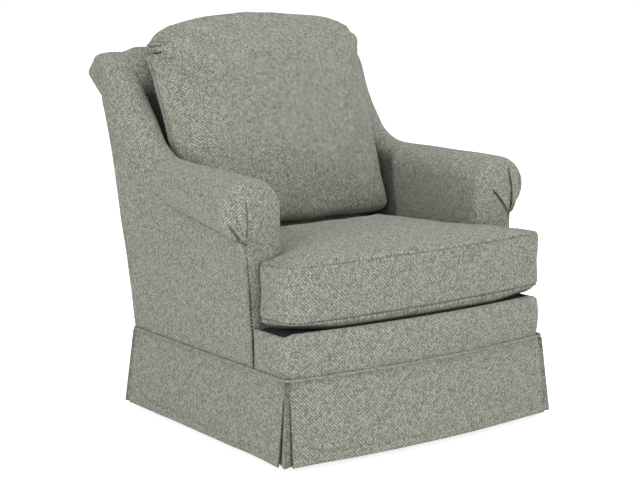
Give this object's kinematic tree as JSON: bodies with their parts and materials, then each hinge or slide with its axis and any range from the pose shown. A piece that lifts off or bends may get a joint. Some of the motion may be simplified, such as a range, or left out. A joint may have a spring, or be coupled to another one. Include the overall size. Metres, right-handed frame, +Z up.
{
  "type": "swivel glider chair",
  "caption": "Skirted armchair with rolled arms, T-shaped seat cushion and loose back pillow, turning on a hidden floor ring and gliding on hanging links",
  "frame": {"origin": "centre of the bounding box on the floor, which the floor pads stand on", "axes": "+Z up, +X to the right as seen from the front, the chair faces -Y; +Z is the longest extent"},
  "size_m": [0.8582, 0.8659, 0.9548],
  "materials": {
    "cover_fabric": "two-tone twill upholstery cloth",
    "deck_cloth": "plain deck cloth over padding",
    "webbing": "woven webbing",
    "frame_wood": "sawn hardwood",
    "black_steel": "black enamel",
    "plated_steel": "zinc plated",
    "bright_steel": "bright drawn",
    "cage_brass": "stamped",
    "bush_nylon": "moulded nylon",
    "pad_plastic": "moulded",
    "stop_rubber": "moulded"
  },
  "bodies": {
    "base": {"base_ring": "black_steel", "base_spider": "black_steel", "floor_pads": "pad_plastic", "lower_race": "plated_steel", "king_pin": "plated_steel"},
    "bearing_cage": {"ball_cage": "cage_brass", "bearing_balls": "bright_steel"},
    "swivel": {"upper_race": "plated_steel", "cross_channels": "black_steel", "hanger_left": "black_steel", "hanger_right": "black_steel", "upper_pivot_pins": "plated_steel", "glide_stops": "stop_rubber"},
    "front_links": {"link_front_left": "plated_steel", "link_front_right": "plated_steel", "link_bushes_front": "bush_nylon"},
    "rear_links": {"link_rear_left": "plated_steel", "link_rear_right": "plated_steel", "link_bushes_rear": "bush_nylon"},
    "chair": {"arm_pad_left": "cover_fabric", "arm_pad_right": "cover_fabric", "arm_rail_left": "frame_wood", "arm_rail_right": "frame_wood", "arm_stump_left": "frame_wood", "arm_stump_right": "frame_wood", "back_low_rail": "frame_wood", "back_pad": "cover_fabric", "back_pillow": "cover_fabric", "back_post_left": "frame_wood", "back_post_right": "frame_wood", "back_top_rail": "frame_wood", "back_webbing": "webbing", "carriage_bolts": "plated_steel", "carriage_left": "black_steel", "carriage_right": "black_steel", "corner_blocks": "frame_wood", "deck_pad": "deck_cloth", "front_border": "cover_fabric", "front_rail": "frame_wood", "kick_pleat_underlays": "cover_fabric", "lower_pivot_pins": "plated_steel", "mechanism_rail_left": "frame_wood", "mechanism_rail_right": "frame_wood", "outside_arm_left": "cover_fabric", "outside_arm_right": "cover_fabric", "outside_back": "cover_fabric", "rear_rail": "frame_wood", "seat_cushion": "cover_fabric", "seat_springs": "bright_steel", "side_rail_left": "frame_wood", "side_rail_right": "frame_wood", "skirt_back": "cover_fabric", "skirt_front": "cover_fabric", "skirt_side_left": "cover_fabric", "skirt_side_right": "cover_fabric", "skirt_welt": "cover_fabric", "spring_clips": "plated_steel", "wing_pad_left": "cover_fabric", "wing_pad_right": "cover_fabric"}
  },
  "joints": [
    {"name": "swivel_turn", "type": "hinge", "parent": "base", "child": "swivel", "pos_m": [0, -0.043, 0.0475], "axis": [0, 0, 1], "continuous": true},
    {"name": "cage_turn", "type": "hinge", "parent": "base", "child": "bearing_cage", "pos_m": [0, -0.043, 0.0475], "axis": [0, 0, 1], "continuous": true},
    {"name": "front_link_swing", "type": "hinge", "parent": "swivel", "child": "front_links", "pos_m": [0, -0.153, 0.225], "axis": [1, 0, 0], "range_deg": [-25, 25]},
    {"name": "chair_level", "type": "hinge", "parent": "front_links", "child": "chair", "pos_m": [0, -0.153, 0.085], "axis": [1, 0, 0], "range_deg": [-25, 25]},
    {"name": "rear_link_swing", "type": "hinge", "parent": "swivel", "child": "rear_links", "pos_m": [0, 0.067, 0.225], "axis": [1, 0, 0], "range_deg": [-25, 25]}
  ],
  "couplings": [
    {"joint": "cage_turn", "follows": "swivel_turn", "ratio": 0.5},
    {"joint": "chair_level", "follows": "front_link_swing", "ratio": -1},
    {"joint": "rear_link_swing", "follows": "front_link_swing", "ratio": 1}
  ]
}
